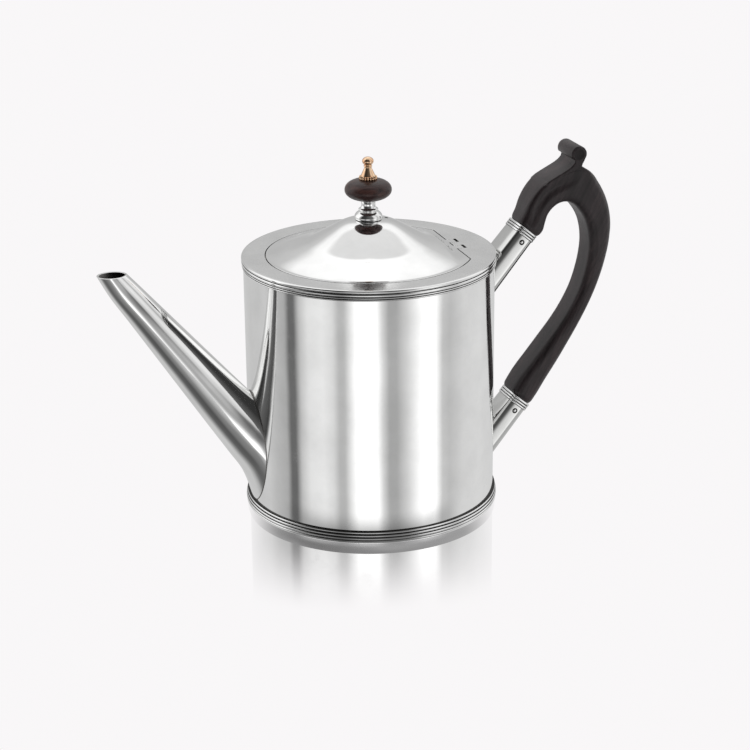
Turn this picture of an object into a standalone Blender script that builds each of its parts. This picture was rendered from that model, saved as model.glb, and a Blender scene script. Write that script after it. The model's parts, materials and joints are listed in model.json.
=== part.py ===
"""Silver drum teapot with a reeded rim and foot, a tapered spout, a flush-hinged
lid with a wooden finial, and a wooden loop handle held in two silver sockets.

The pot stands on z = 0 with its axis on Z. The handle is towards +X and the
spout towards -X. The lid turns about a Y axis at the back of the top plate.
"""
import math

import bmesh
import bpy
from mathutils import Vector

MM = 0.001
GAP = 0.3 * MM                  # space left between pieces that touch
MERGE = 0.00001
REACH = 60.0 * MM               # cutters run this far, past everything they cut

# Drum
DRUM_RADIUS = 52.5 * MM
DRUM_HEIGHT = 108.5 * MM
SHEET = 1.0 * MM                # gauge of the silver sheet
ROUND = 60                      # facets round the drum and the lid
SMALL_ROUND = 20                # facets round the finial
RIM_RADIUS = 53.3 * MM
RIM_DEPTH = 4.5 * MM
RIM_INNER_RADIUS = 50.9 * MM
FOOT_RADIUS = 54.0 * MM
FOOT_DEPTH = 4.93 * MM
RIM_UNDERSIDE = DRUM_HEIGHT - RIM_DEPTH

# Lid and its opening
LID_RADIUS = 43.0 * MM
LID_SEAM = 0.4 * MM
CHORD_X = 36.5 * MM             # straight back edge of the lid
CHORD_UNDERCUT = 0.4            # run of the lid's back edge for each unit of depth
LID_GAUGE = 1.1 * SHEET         # measured upright, so that the slope keeps its sheet
# Radius and height above the top plate, from the crown down the dome to the brim
LID_PROFILE = (
    (4.6, 14.5), (8.5, 14.0), (12.5, 12.5), (16.5, 10.2), (20.5, 7.9),
    (24.5, 5.8), (28.0, 4.0), (32.0, 2.2), (36.0, 0.6), (41.0, 0.1),
)
LID_RISE = LID_PROFILE[0][1] * MM
BEZEL_RADIUS = 41.4 * MM
BEZEL_DROP = 5.0 * MM
SEAT_INNER_RADIUS = BEZEL_RADIUS + LID_SEAM
SEAT_OUTER_RADIUS = 46.5 * MM
BEZEL_END_X = 33.0 * MM
SEAT_END_X = 35.0 * MM
VENT_PLACE = (7.8 * MM, 0.0)
VENT_RADIUS = 0.8 * MM

# Hinge
KNUCKLE_RADIUS = 2.1 * MM
HINGE_X = 38.9 * MM
HINGE_Z = DRUM_HEIGHT - KNUCKLE_RADIUS
KNUCKLE_PITCH = 4.72 * MM
KNUCKLE_BORE = 0.85 * MM
HINGE_PIN_RADIUS = 0.75 * MM
KNUCKLE_COUNT = 5
HINGE_LENGTH = KNUCKLE_COUNT * KNUCKLE_PITCH
TROUGH_LIP = 0.8 * MM
TROUGH_INNER = KNUCKLE_RADIUS + 0.4 * MM
TROUGH_WALL = 0.7 * MM

# Finial, heights above the top plate
STUD_RADIUS = 1.0 * MM
STUD_BORE = STUD_RADIUS + GAP
STUD_BOTTOM = 6.9 * MM
STUD_TOP = 34.6 * MM
WASHER_RADIUS = 4.2 * MM
WASHER_DEPTH = 0.8 * MM
NUT_RADIUS = 3.4 * MM
NUT_DEPTH = 2.2 * MM
BUTTON_RADIUS = 9.8 * MM
BUTTON_HALF_HEIGHT = 4.55 * MM
BUTTON_CENTRE = 27.1 * MM
CAP_BALL_RADIUS = 2.4 * MM
CAP_BALL_HALF_HEIGHT = 1.85 * MM
CAP_BALL_CENTRE = 39.15 * MM

# Spout: points on its lower and upper edges in the XZ plane with its half width
SPOUT_WALL = 1.0 * MM
SPOUT_ROUND = 24
SPOUT_SECTIONS = (
    # lower x, lower z, upper x, upper z, half width
    (-50.5, -2.0, -32.0, 29.6, 15.3),
    (-52.7, 5.0, -36.0, 34.2, 15.3),
    (-54.6, 11.8, -40.0, 38.8, 15.1),
    (-57.2, 18.5, -44.0, 43.3, 14.5),
    (-63.0, 27.7, -48.5, 48.5, 13.0),
    (-71.2, 40.4, -52.9, 53.5, 11.4),
    (-87.0, 65.1, -70.6, 73.7, 9.3),
    (-103.0, 90.1, -90.0, 95.9, 7.0),
    (-110.2, 101.3, -98.3, 105.4, 5.7),
    (-114.8, 110.0, -102.4, 110.0, 5.2),
)
STRAINER_HOLE_RADIUS = 1.4 * MM
STRAINER_PITCH = 5.2 * MM
STRAINER_CENTRE_Z = 30.0 * MM

# Handle sockets: centre of each socket's mouth in the XZ plane
SOCKET_ANGLE = math.radians(50.0)
UPPER_MOUTH = (67.1 * MM, 110.2 * MM)
LOWER_MOUTH = (65.0 * MM, 34.3 * MM)
SOCKET_LENGTH = 30.0 * MM
SOCKET_WALL = 0.9 * MM
SOCKET_HALF_DEPTH = 5.1 * MM    # across the socket, in the XZ plane
SOCKET_HALF_WIDTH = 7.6 * MM    # along Y
SOCKET_SPREAD = 0.5 * MM        # widening from the mouth to the drum
SOCKET_CORNER = 2.4 * MM
COLLAR_LENGTH = 3.4 * MM
COLLAR_PROUD = 0.4 * MM
HANDLE_PIN_RADIUS = 0.95 * MM
HANDLE_PIN_OFFSET = 2.4 * MM    # from the mouth back along the socket
HANDLE_PIN_PROUD = 0.25 * MM    # each domed head stands this far out
TENON_LENGTH = 10.0 * MM
TENON_ROUNDING = 1.6 * MM

# Wooden handle, cut from one board
HANDLE_THICKNESS = 16.0 * MM
HANDLE_ROUNDING = 2.4 * MM
HANDLE_END_HALF_DEPTH = 5.6 * MM
SCROLL_CENTRE = (91.0, 144.6)
SCROLL_RADIUS = 3.3
OUTER_EDGE = (
    (75.2, 38.5), (78.6, 43.9), (83.8, 51.7), (88.9, 60.5), (94.0, 69.6),
    (98.6, 78.6), (102.4, 87.4), (105.4, 96.5), (107.4, 105.0), (107.8, 111.5),
    (107.1, 117.7), (105.3, 123.8), (102.3, 129.7), (98.4, 134.8), (93.6, 138.7),
)
TOP_EDGE = (
    (88.9, 141.2), (87.4, 139.2), (84.0, 137.2), (79.8, 135.1), (75.2, 132.3),
    (71.6, 128.5), (69.0, 124.6), (67.2, 120.2),
)
LOOP_EDGE = (
    (75.9, 112.0), (76.9, 115.4), (78.0, 118.6), (80.2, 121.4), (83.1, 123.2),
    (86.4, 123.6), (89.7, 122.2), (92.8, 118.9), (95.5, 114.4), (97.0, 109.5),
    (97.6, 104.0), (97.1, 97.8), (95.7, 91.2), (93.3, 83.8), (89.6, 76.4),
    (84.8, 69.1), (79.0, 61.8), (73.0, 54.4), (67.2, 47.2),
)


# ---------------------------------------------------------------- helpers

def clear_scene():
    for item in list(bpy.data.objects):
        bpy.data.objects.remove(item, do_unlink=True)


def new_collection(name):
    group = bpy.data.collections.new(name)
    bpy.context.scene.collection.children.link(group)
    return group


def material(name, colour, roughness, metallic):
    finish = bpy.data.materials.new(name)
    finish.use_nodes = True
    shader = finish.node_tree.nodes["Principled BSDF"]
    shader.inputs["Base Color"].default_value = (*colour, 1.0)
    shader.inputs["Roughness"].default_value = roughness
    shader.inputs["Metallic"].default_value = metallic
    return finish


def smooth(mesh):
    mesh.shade_smooth()
    mesh.set_sharp_from_angle(angle=math.radians(35.0))


def add_part(name, mesh, look, parent=None, centre=(0.0, 0.0, 0.0)):
    """Puts a mesh in the teapot's collection with a material of its own."""
    part = bpy.data.objects.new(name, mesh)
    PARTS.objects.link(part)
    colour, roughness, metallic = look
    mesh.materials.append(material(name, colour, roughness, metallic))
    part.location = centre
    if parent is not None:
        part.parent = parent
        part.location = Vector(centre) - parent.location
    return part


def add_cutter(name, mesh):
    cutter = bpy.data.objects.new(name, mesh)
    CUTTERS.objects.link(cutter)
    cutter.hide_render = True
    cutter.display_type = "WIRE"
    return cutter


def boolean(part, other, operation="DIFFERENCE"):
    step = part.modifiers.new(operation.lower(), "BOOLEAN")
    step.operation = operation
    step.solver = "EXACT"
    step.object = other


def profile_mesh(name, outline, closed):
    """An edge-only mesh in the XZ plane from (radius, height) points."""
    mesh = bpy.data.meshes.new(name)
    points = [(radius, 0.0, height) for radius, height in outline]
    edges = [(i, i + 1) for i in range(len(points) - 1)]
    if closed:
        edges.append((len(points) - 1, 0))
    mesh.from_pydata(points, edges, [])
    return mesh


def screw(item, facets):
    turn = item.modifiers.new("turn", "SCREW")
    turn.angle = math.tau
    turn.steps = facets
    turn.render_steps = facets
    turn.use_merge_vertices = True
    turn.merge_threshold = MERGE
    turn.use_smooth_shade = True


def turned(name, outline, look, facets, parent=None, closed=True,
           centre=(0.0, 0.0, 0.0)):
    """A turned solid. The outline runs down its outer side, top to bottom."""
    part = add_part(name, profile_mesh(name, outline, closed), look, parent, centre)
    screw(part, facets)
    return part


def turned_cutter(name, outline, facets):
    cutter = add_cutter(name, profile_mesh(name, outline, False))
    screw(cutter, facets)
    return cutter


def flat_mesh(name, outline, thickness, rounding=0.0):
    """A flat outline in local XY, thickened about local Z, as one closed mesh."""
    curve = bpy.data.curves.new(name, "CURVE")
    curve.dimensions = "2D"
    curve.fill_mode = "BOTH"
    curve.extrude = thickness / 2 - rounding
    curve.bevel_depth = rounding
    curve.offset = -rounding
    curve.bevel_resolution = 1
    line = curve.splines.new("POLY")
    line.use_cyclic_u = True
    line.points.add(len(outline) - 1)
    for point, (x, y) in zip(line.points, outline):
        point.co = (x, y, 0.0, 1.0)
    holder = bpy.data.objects.new(name, curve)
    CUTTERS.objects.link(holder)
    graph = bpy.context.evaluated_depsgraph_get()
    mesh = bpy.data.meshes.new_from_object(holder.evaluated_get(graph))
    bpy.data.objects.remove(holder, do_unlink=True)
    mesh.materials.clear()
    weld = bmesh.new()
    weld.from_mesh(mesh)
    bmesh.ops.remove_doubles(weld, verts=weld.verts, dist=MERGE)
    bmesh.ops.recalc_face_normals(weld, faces=weld.faces)
    weld.to_mesh(mesh)
    weld.free()
    return mesh


def box_cutter(name, low, high):
    shape = bmesh.new()
    bmesh.ops.create_cube(shape, size=1.0)
    for vertex in shape.verts:
        for axis in range(3):
            middle = (low[axis] + high[axis]) / 2
            vertex.co[axis] = middle + vertex.co[axis] * (high[axis] - low[axis])
    mesh = bpy.data.meshes.new(name)
    shape.to_mesh(mesh)
    shape.free()
    return add_cutter(name, mesh)


def back_cutter(name, start_x):
    """Everything behind start_x, to cut a ring under the top plate straight across."""
    return box_cutter(name, (start_x, -REACH, DRUM_HEIGHT - REACH),
                      (start_x + REACH, REACH, DRUM_HEIGHT + REACH))


def rods(name, ends, radius, facets):
    """Straight round rods as one cutter, each from one end point to the other."""
    shape = bmesh.new()
    for start, end in ends:
        start = Vector(start)
        run = Vector(end) - start
        turn = run.to_track_quat("Z", "Y").to_matrix().to_4x4()
        turn.translation = start + run / 2
        bmesh.ops.create_cone(shape, cap_ends=True, segments=facets, radius1=radius,
                              radius2=radius, depth=run.length, matrix=turn)
    mesh = bpy.data.meshes.new(name)
    shape.to_mesh(mesh)
    shape.free()
    return add_cutter(name, mesh)


def tube_mesh(name, outer_rings, inner_rings):
    """A closed tube between matching outer and inner rings of points."""
    shape = bmesh.new()
    rings = list(outer_rings) + list(reversed(inner_rings))
    placed = [[shape.verts.new(point) for point in ring] for ring in rings]
    count = len(placed[0])
    for ring, after in zip(placed, placed[1:] + placed[:1]):
        for i in range(count):
            j = (i + 1) % count
            shape.faces.new((ring[i], ring[j], after[j], after[i]))
    bmesh.ops.recalc_face_normals(shape, faces=shape.faces)
    mesh = bpy.data.meshes.new(name)
    shape.to_mesh(mesh)
    shape.free()
    smooth(mesh)
    return mesh


def rounded_rectangle(half_depth, half_width, corner, steps=3):
    """Points round a rectangle with rounded corners, as (depth, width) pairs."""
    points = []
    for quarter, (sign_d, sign_w) in enumerate(((1, 1), (-1, 1), (-1, -1), (1, -1))):
        for step in range(steps + 1):
            angle = math.radians(90.0) * (quarter + step / steps)
            depth = sign_d * (half_depth - corner) + corner * math.cos(angle)
            width = sign_w * (half_width - corner) + corner * math.sin(angle)
            points.append((depth, width))
    return points


# ------------------------------------------------------------------- drum

def make_drum():
    top = RIM_UNDERSIDE - GAP
    outline = (
        (DRUM_RADIUS, top), (DRUM_RADIUS, 0.0),
        (DRUM_RADIUS - SHEET, 0.0), (DRUM_RADIUS - SHEET, top),
    )
    wall = turned("body_wall", outline, SILVER, ROUND)
    boolean(wall, strainer_cutter())

    radius = DRUM_RADIUS - SHEET - GAP
    outline = ((0.0, SHEET), (radius, SHEET), (radius, 0.0), (0.0, 0.0))
    turned("base_plate", outline, SILVER, ROUND, closed=False)

    back = DRUM_RADIUS + GAP
    reeds = (
        (52.9, 4.93), (53.6, 4.4), (53.2, 3.7), (53.9, 3.1),
        (53.4, 2.46), (54.0, 1.85), (53.4, 1.23), (53.8, 0.6), (53.4, 0.0),
    )
    outline = [(radius * MM, height * MM) for radius, height in reeds]
    outline += [(back, 0.0), (back, FOOT_DEPTH)]
    turned("foot_moulding", outline, SILVER, ROUND)

    reeds = (
        (52.5, 0.0), (53.3, 0.7), (52.7, 1.4), (53.3, 2.1), (52.6, 2.8),
        (53.0, 3.2), (52.5, 3.65), (52.8, 4.05), (52.4, 4.5),
    )
    outline = [(radius * MM, DRUM_HEIGHT - drop * MM) for radius, drop in reeds]
    outline += [(RIM_INNER_RADIUS, RIM_UNDERSIDE), (RIM_INNER_RADIUS, DRUM_HEIGHT)]
    turned("rim_moulding", outline, SILVER, ROUND)


def strainer_cutter():
    """Holes through the wall behind the spout, in a hexagonal patch."""
    ends = []
    for row in range(-2, 3):
        in_row = 5 - abs(row)
        height = STRAINER_CENTRE_Z + row * STRAINER_PITCH * math.sin(math.radians(60.0))
        for place in range(in_row):
            side = (place - (in_row - 1) / 2) * STRAINER_PITCH
            ends.append(((-DRUM_RADIUS - 4 * SHEET, side, height),
                         (-DRUM_RADIUS + 6 * SHEET, side, height)))
    return rods("strainer_holes", ends, STRAINER_HOLE_RADIUS, 8)


def clearance_cutter():
    """The drum and its mouldings, a gap larger, to trim what is joined to it."""
    outline = (
        (0.0, DRUM_HEIGHT + REACH),
        (RIM_RADIUS + GAP, DRUM_HEIGHT + REACH),
        (RIM_RADIUS + GAP, RIM_UNDERSIDE - GAP),
        (DRUM_RADIUS + GAP, RIM_UNDERSIDE - GAP),
        (DRUM_RADIUS + GAP, FOOT_DEPTH + GAP),
        (FOOT_RADIUS + GAP, FOOT_DEPTH + GAP),
        (FOOT_RADIUS + GAP, -REACH),
        (0.0, -REACH),
    )
    return turned_cutter("drum_clearance", outline, ROUND)


def lid_opening(radius, chord_x):
    """Points of a circle cut straight across at x = chord_x."""
    half_angle = math.acos(chord_x / radius)
    sweep = math.tau - 2 * half_angle
    points = []
    for step in range(ROUND + 1):
        angle = half_angle + sweep * step / ROUND
        points.append((radius * math.cos(angle), radius * math.sin(angle)))
    return points


def make_top_plate():
    radius = RIM_INNER_RADIUS - GAP
    under = DRUM_HEIGHT - SHEET
    outline = ((0.0, DRUM_HEIGHT), (radius, DRUM_HEIGHT), (radius, under), (0.0, under))
    plate = turned("top_plate", outline, SILVER, ROUND, closed=False)
    opening = lid_opening(LID_RADIUS + LID_SEAM, CHORD_X + LID_SEAM)
    hole = add_cutter("lid_hole", flat_mesh("lid_hole", opening, 6 * SHEET))
    hole.location.z = DRUM_HEIGHT
    boolean(plate, hole)
    notch_end = HINGE_X + KNUCKLE_RADIUS + GAP
    half = HINGE_LENGTH / 2 + GAP
    boolean(plate, box_cutter("hinge_notch",
                              (CHORD_X - SHEET, -half, DRUM_HEIGHT - 3 * SHEET),
                              (notch_end, half, DRUM_HEIGHT + 3 * SHEET)))

    top = under - GAP
    low = top - SHEET
    outline = (
        (SEAT_OUTER_RADIUS, top), (SEAT_OUTER_RADIUS, low),
        (SEAT_INNER_RADIUS, low), (SEAT_INNER_RADIUS, top),
    )
    seat = turned("lid_seat", outline, SILVER, ROUND)
    boolean(seat, back_cutter("seat_end", SEAT_END_X))


# ------------------------------------------------------------------ hinge

def knuckle_outline(side):
    """A round barrel with a square shoulder, level with the top plate, on one side."""
    steps = 12
    points = [(side * KNUCKLE_RADIUS, KNUCKLE_RADIUS)]
    for step in range(steps + 1):
        angle = math.radians(90.0 + 270.0 * step / steps)
        points.append((side * KNUCKLE_RADIUS * math.cos(angle),
                       KNUCKLE_RADIUS * math.sin(angle)))
    return points


def make_hinge(lid_axis):
    near = (HINGE_X, -HINGE_LENGTH, HINGE_Z)
    far = (HINGE_X, HINGE_LENGTH, HINGE_Z)
    bore = rods("knuckle_bore", [(near, far)], KNUCKLE_BORE, 16)
    names = ("deck_knuckle_near", "lid_knuckle_near", "deck_knuckle_middle",
             "lid_knuckle_far", "deck_knuckle_far")
    for place, name in enumerate(names):
        on_lid = name.startswith("lid")
        middle = (place + 0.5 - KNUCKLE_COUNT / 2) * KNUCKLE_PITCH
        mesh = flat_mesh(name, knuckle_outline(-1 if on_lid else 1), KNUCKLE_PITCH - GAP)
        knuckle = add_part(name, mesh, SILVER, lid_axis if on_lid else None,
                           (HINGE_X, middle, HINGE_Z))
        knuckle.rotation_euler.x = math.radians(90.0)
        boolean(knuckle, bore)

    half = HINGE_LENGTH / 2
    outline = ((0.0, half), (HINGE_PIN_RADIUS, half), (HINGE_PIN_RADIUS, -half),
               (0.0, -half))
    pin = turned("hinge_pin", outline, STEEL, 16, closed=False,
                 centre=(HINGE_X, 0.0, HINGE_Z))
    pin.rotation_euler.x = math.radians(90.0)

    outer = trough_side(TROUGH_INNER + TROUGH_WALL)
    inner = trough_side(TROUGH_INNER)
    mesh = flat_mesh("hinge_trough", outer + inner[::-1], HINGE_LENGTH)
    trough = add_part("hinge_trough", mesh, SILVER, centre=(HINGE_X, 0.0, HINGE_Z))
    trough.rotation_euler.x = math.radians(90.0)


def trough_side(radius):
    """A U from lip to lip round the underside of the hinge barrel."""
    steps = 8
    points = [(radius, TROUGH_LIP)]
    for step in range(steps + 1):
        angle = math.pi * step / steps
        points.append((radius * math.cos(angle), -radius * math.sin(angle)))
    points.append((-radius, TROUGH_LIP))
    return points


# -------------------------------------------------------------------- lid

def make_lid(lid_axis):
    curve = [(radius * MM, rise * MM) for radius, rise in LID_PROFILE]
    outline = [(STUD_BORE, DRUM_HEIGHT + LID_RISE)]
    outline += [(radius, DRUM_HEIGHT + rise) for radius, rise in curve]
    outline += [(LID_RADIUS, DRUM_HEIGHT), (LID_RADIUS, DRUM_HEIGHT - SHEET)]
    outline += [(radius, DRUM_HEIGHT + rise - LID_GAUGE)
                for radius, rise in reversed(curve)]
    outline.append((STUD_BORE, DRUM_HEIGHT + LID_RISE - LID_GAUGE))
    lid = turned("lid", outline, SILVER, ROUND, lid_axis)

    above = LID_RISE
    below = -3 * SHEET
    edge = [(CHORD_X, above), (REACH, above), (REACH, below),
            (CHORD_X + CHORD_UNDERCUT * below, below), (CHORD_X, 0.0)]
    back = add_cutter("lid_back", flat_mesh("lid_back", edge, 2 * REACH))
    back.location.z = DRUM_HEIGHT
    back.rotation_euler.x = math.radians(90.0)
    boolean(lid, back)
    vent_x, vent_y = VENT_PLACE
    boolean(lid, rods("vent", [((vent_x, vent_y, DRUM_HEIGHT),
                                (vent_x, vent_y, DRUM_HEIGHT + REACH))],
                      VENT_RADIUS, 10))

    top = DRUM_HEIGHT - SHEET - GAP
    low = DRUM_HEIGHT - BEZEL_DROP
    outline = (
        (BEZEL_RADIUS, top), (BEZEL_RADIUS, low),
        (BEZEL_RADIUS - SHEET, low), (BEZEL_RADIUS - SHEET, top),
    )
    bezel = turned("lid_bezel", outline, SILVER, ROUND, lid_axis)
    boolean(bezel, back_cutter("bezel_end", BEZEL_END_X))


def above_plate(points):
    return [(radius * MM, DRUM_HEIGHT + height * MM) for radius, height in points]


def ring_outline(outer, top, depth):
    """A ring on the stud, from its outer radius and its top above the top plate."""
    high = DRUM_HEIGHT + top
    low = high - depth
    return ((outer, high), (outer, low), (STUD_BORE, low), (STUD_BORE, high))


def make_finial(lid_axis):
    foot = DRUM_HEIGHT + LID_RISE + GAP
    outline = above_plate((
        (3.1, 22.25), (2.95, 21.2), (3.3, 19.6), (4.1, 19.1), (4.1, 18.6),
        (3.6, 18.3), (4.9, 17.3), (5.6, 16.5), (5.85, 15.6),
    ))
    outline += [(5.4 * MM, foot), (STUD_BORE, foot), (STUD_BORE, outline[0][1])]
    turned("finial_pedestal", outline, SILVER, SMALL_ROUND, lid_axis)

    outline = []
    seat = 72.0
    steps = 8
    for step in range(steps + 1):
        angle = math.radians(seat - 2 * seat * step / steps)
        outline.append((BUTTON_RADIUS * math.cos(angle),
                        DRUM_HEIGHT + BUTTON_CENTRE + BUTTON_HALF_HEIGHT * math.sin(angle)))
    outline += [(STUD_BORE, outline[-1][1]), (STUD_BORE, outline[0][1])]
    turned("finial_button", outline, WOOD, 24, lid_axis)

    outline = []
    for step in range(6):
        angle = math.radians(90.0 - 28.0 * step)
        outline.append((CAP_BALL_RADIUS * math.cos(angle),
                        DRUM_HEIGHT + CAP_BALL_CENTRE + CAP_BALL_HALF_HEIGHT * math.sin(angle)))
    outline += above_plate((
        (1.6, 36.4), (2.0, 35.35), (3.0, 33.2), (3.6, 32.7), (3.8, 32.2), (3.5, 31.75),
    ))
    bore_end = DRUM_HEIGHT + STUD_TOP + 2 * GAP
    outline += [(STUD_BORE, outline[-1][1]), (STUD_BORE, bore_end), (0.0, bore_end)]
    turned("finial_cap", outline, GILT, SMALL_ROUND, lid_axis, closed=False)

    high = DRUM_HEIGHT + STUD_TOP
    low = DRUM_HEIGHT + STUD_BOTTOM
    rod = ((0.0, high), (STUD_RADIUS, high), (STUD_RADIUS, low), (0.0, low))
    turned("finial_stud", rod, STEEL, 12, lid_axis, closed=False)
    washer_top = LID_RISE - LID_GAUGE - GAP
    turned("finial_washer", ring_outline(WASHER_RADIUS, washer_top, WASHER_DEPTH),
           SILVER, 16, lid_axis)
    nut_top = washer_top - WASHER_DEPTH - GAP
    turned("finial_nut", ring_outline(NUT_RADIUS, nut_top, NUT_DEPTH),
           STEEL, 6, lid_axis)


# ------------------------------------------------------------------ spout

def spout_ring(section, inset):
    """An ellipse between the lower and upper edges of one section."""
    low_x, low_z, high_x, high_z, half_width = (value * MM for value in section)
    low = Vector((low_x, 0.0, low_z))
    high = Vector((high_x, 0.0, high_z))
    centre = (low + high) / 2
    up = (high - low) / 2
    up *= (up.length - inset) / up.length
    side = Vector((0.0, half_width - inset, 0.0))
    points = []
    for step in range(SPOUT_ROUND):
        angle = math.tau * step / SPOUT_ROUND
        points.append(centre + up * math.cos(angle) + side * math.sin(angle))
    return points


def make_spout(clearance):
    outer = [spout_ring(section, 0.0) for section in SPOUT_SECTIONS]
    inner = [spout_ring(section, SPOUT_WALL) for section in SPOUT_SECTIONS]
    spout = add_part("spout", tube_mesh("spout", outer, inner), SILVER)
    boolean(spout, clearance)


# ----------------------------------------------------------------- handle

def along(mouth, distance, across=0.0):
    """A point in the XZ plane on a socket's axis, distance out from its mouth."""
    x, z = mouth
    run = (math.cos(SOCKET_ANGLE), math.sin(SOCKET_ANGLE))
    return (x + distance * run[0] + across * run[1],
            z + distance * run[1] - across * run[0])


def socket_ring(mouth, distance, half_depth, half_width):
    corner = SOCKET_CORNER
    points = []
    for depth, width in rounded_rectangle(half_depth, half_width, corner):
        x, z = along(mouth, distance, depth)
        points.append((x, width, z))
    return points


def socket_rings(mouth, inset):
    rings = []
    for share in (0.0, 0.5, 1.0):
        spread = SOCKET_SPREAD * share - inset
        rings.append(socket_ring(mouth, -GAP - SOCKET_LENGTH * share,
                                 SOCKET_HALF_DEPTH + spread, SOCKET_HALF_WIDTH + spread))
    return rings


def collar_rings(mouth):
    """Three reeds round the mouth, then the straight bore."""
    outer = []
    steps = 6
    for step in range(steps + 1):
        proud = COLLAR_PROUD if step % 2 else 0.0
        outer.append(socket_ring(mouth, COLLAR_LENGTH * step / steps,
                                 SOCKET_HALF_DEPTH + proud, SOCKET_HALF_WIDTH + proud))
    inner = [socket_ring(mouth, distance, SOCKET_HALF_DEPTH - SOCKET_WALL,
                         SOCKET_HALF_WIDTH - SOCKET_WALL)
             for distance in (0.0, COLLAR_LENGTH)]
    return outer, inner


def pin_ends(mouth, half_length):
    x, z = along(mouth, -HANDLE_PIN_OFFSET)
    return (x, -half_length, z), (x, half_length, z)


def make_socket(side, mouth, clearance, pin_holes):
    mesh = tube_mesh(side + "_socket", socket_rings(mouth, 0.0),
                     socket_rings(mouth, SOCKET_WALL))
    socket = add_part(side + "_socket", mesh, SILVER)
    boolean(socket, clearance)
    boolean(socket, pin_holes)

    outer, inner = collar_rings(mouth)
    add_part(side + "_socket_collar",
             tube_mesh(side + "_socket_collar", outer, inner), SILVER)

    half = SOCKET_HALF_WIDTH + HANDLE_PIN_PROUD
    head = ((0.0, 0.0), (HANDLE_PIN_RADIUS * 0.7, 0.1 * MM),
            (HANDLE_PIN_RADIUS, HANDLE_PIN_PROUD))
    outline = [(radius, half - drop) for radius, drop in head]
    outline += [(radius, drop - half) for radius, drop in reversed(head)]
    (x, _, z), _ = pin_ends(mouth, half)
    pin = turned(side + "_handle_pin", outline, SILVER, 12, closed=False,
                 centre=(x, 0.0, z))
    pin.rotation_euler.x = -math.radians(90.0)


def handle_outline():
    """The board's outline: up the outer edge, round the scroll, and back."""
    shoulder = COLLAR_LENGTH + GAP
    outer_end = along(LOWER_MOUTH, shoulder, HANDLE_END_HALF_DEPTH)
    inner_end = along(LOWER_MOUTH, shoulder, -HANDLE_END_HALF_DEPTH)
    top_end = along(UPPER_MOUTH, shoulder, -HANDLE_END_HALF_DEPTH)
    loop_end = along(UPPER_MOUTH, shoulder, HANDLE_END_HALF_DEPTH)
    points = [outer_end]
    points += [(x * MM, z * MM) for x, z in OUTER_EDGE]
    steps = 9
    for step in range(steps + 1):
        angle = math.radians(-45.0 + 260.0 * step / steps)
        points.append(((SCROLL_CENTRE[0] + SCROLL_RADIUS * math.cos(angle)) * MM,
                       (SCROLL_CENTRE[1] + SCROLL_RADIUS * math.sin(angle)) * MM))
    points += [(x * MM, z * MM) for x, z in TOP_EDGE]
    points += [top_end, loop_end]
    points += [(x * MM, z * MM) for x, z in LOOP_EDGE]
    points.append(inner_end)
    return points


def tenon(mouth, name):
    """The reduced end of the wood, through the collar and into the socket."""
    half_depth = SOCKET_HALF_DEPTH - SOCKET_WALL - GAP
    half_width = SOCKET_HALF_WIDTH - SOCKET_WALL - GAP
    root = COLLAR_LENGTH + 3 * MM
    outline = [along(mouth, -TENON_LENGTH, half_depth), along(mouth, root, half_depth),
               along(mouth, root, -half_depth), along(mouth, -TENON_LENGTH, -half_depth)]
    piece = add_cutter(name, flat_mesh(name, outline, 2 * half_width, TENON_ROUNDING))
    piece.rotation_euler.x = math.radians(90.0)
    return piece


def make_handle(pin_holes):
    mesh = flat_mesh("handle", handle_outline(), HANDLE_THICKNESS, HANDLE_ROUNDING)
    handle = add_part("handle", mesh, WOOD)
    handle.rotation_euler.x = math.radians(90.0)
    for side, mouth in SOCKETS:
        boolean(handle, tenon(mouth, side + "_tenon"), "UNION")
    boolean(handle, pin_holes)


# ------------------------------------------------------------------- build

SILVER = ((0.86, 0.85, 0.83), 0.12, 1.0)
STEEL = ((0.62, 0.61, 0.60), 0.30, 1.0)
WOOD = ((0.035, 0.022, 0.018), 0.38, 0.0)
GILT = ((0.86, 0.62, 0.27), 0.20, 1.0)
SOCKETS = (("upper", UPPER_MOUTH), ("lower", LOWER_MOUTH))

clear_scene()
PARTS = new_collection("drum_teapot")
CUTTERS = new_collection("cutters")

hinge_axis = bpy.data.objects.new("lid_hinge_axis", None)
hinge_axis.location = (HINGE_X, 0.0, HINGE_Z)
PARTS.objects.link(hinge_axis)

trim = clearance_cutter()
through = [pin_ends(mouth, REACH) for _, mouth in SOCKETS]
pin_hole_cutter = rods("pin_holes", through, HANDLE_PIN_RADIUS + GAP, 12)

make_drum()
make_top_plate()
make_hinge(hinge_axis)
make_lid(hinge_axis)
make_finial(hinge_axis)
make_spout(trim)
for side_name, socket_mouth in SOCKETS:
    make_socket(side_name, socket_mouth, trim, pin_hole_cutter)
make_handle(pin_hole_cutter)
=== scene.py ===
import json
import math

import bmesh
import bpy
import numpy as np
from mathutils import Matrix, Vector


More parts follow.
